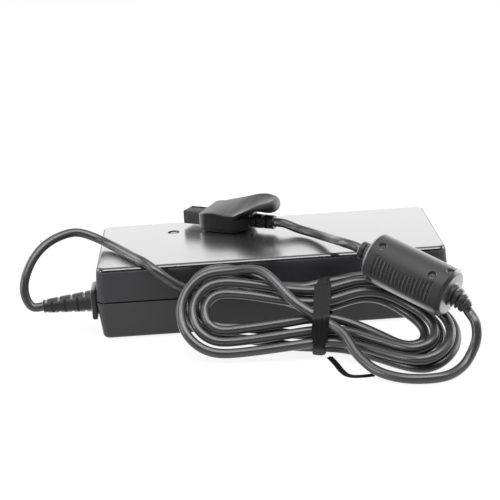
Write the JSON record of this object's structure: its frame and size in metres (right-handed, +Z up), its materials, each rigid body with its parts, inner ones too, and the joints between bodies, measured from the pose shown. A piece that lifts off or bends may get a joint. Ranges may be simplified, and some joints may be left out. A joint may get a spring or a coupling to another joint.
{
  "type": "laptop power adapter",
  "caption": "Black brick-shaped laptop power adapter with its output cord in a tied hank, a ferrite and a flat plug lying on the case.",
  "frame": {"origin": "centre of the case footprint on the surface that the feet stand on", "axes": "+X along the case towards the mains inlet, +Y to the rear, +Z up; the cord lies in front, towards -Y"},
  "size_m": [0.1654, 0.1194, 0.0421],
  "materials": {
    "case_plastic": "satin black, fine spark texture",
    "inlet_plastic": "semi matte black",
    "cord_pvc": "smooth glossy black PVC",
    "overmould": "soft satin black overmould",
    "tie_band": "flat black plastic twist tie",
    "foot_rubber": "matte",
    "lens_clear": "clear light guide",
    "plated_steel": "black nickel plated",
    "contact_brass": "plated",
    "board_green": "glass fibre board",
    "sheet_paper": "insulating paper",
    "ferrite_black": "sintered ferrite",
    "copper_wire": "enamelled copper",
    "winding_tape": "yellow polyester tape",
    "sink_aluminium": "plain",
    "part_black": "moulded epoxy",
    "can_sleeve": "sleeved aluminium can",
    "film_box": "moulded box",
    "disc_blue": "dipped disc",
    "opto_white": "moulded",
    "wire_red": "wire insulation"
  },
  "bodies": {
    "root": {"upper_shell": "case_plastic", "lower_shell": "case_plastic", "rubber_feet": "foot_rubber", "led_lens": "lens_clear", "led_lamp": "lens_clear", "ac_inlet": "inlet_plastic", "inlet_pins": "contact_brass", "circuit_board": "board_green", "insulating_sheet": "sheet_paper", "fuse": "part_black", "thermistor": "part_black", "x_capacitor": "film_box", "line_choke_core": "ferrite_black", "line_choke_windings": "copper_wire", "bridge_rectifier": "part_black", "bulk_capacitor": "can_sleeve", "switching_transistor": "part_black", "primary_heat_sink": "sink_aluminium", "transformer_core": "ferrite_black", "transformer_bobbin": "part_black", "transformer_winding": "winding_tape", "y_capacitors": "disc_blue", "opto_coupler": "opto_white", "controller_chip": "part_black", "output_diode": "part_black", "secondary_heat_sink": "sink_aluminium", "output_capacitors": "can_sleeve", "output_choke": "copper_wire", "output_wires": "wire_red", "dc_boot": "overmould", "cord_lead": "cord_pvc", "cord_hank": "cord_pvc", "cord_tie": "tie_band", "cord_loop": "cord_pvc", "cord_in_ferrite": "cord_pvc", "cord_to_plug": "cord_pvc", "ferrite_core": "ferrite_black", "ferrite_jacket": "overmould", "plug_body": "overmould", "plug_nose": "plated_steel", "plug_insert": "part_black", "plug_contacts": "contact_brass"}
  },
  "joints": []
}
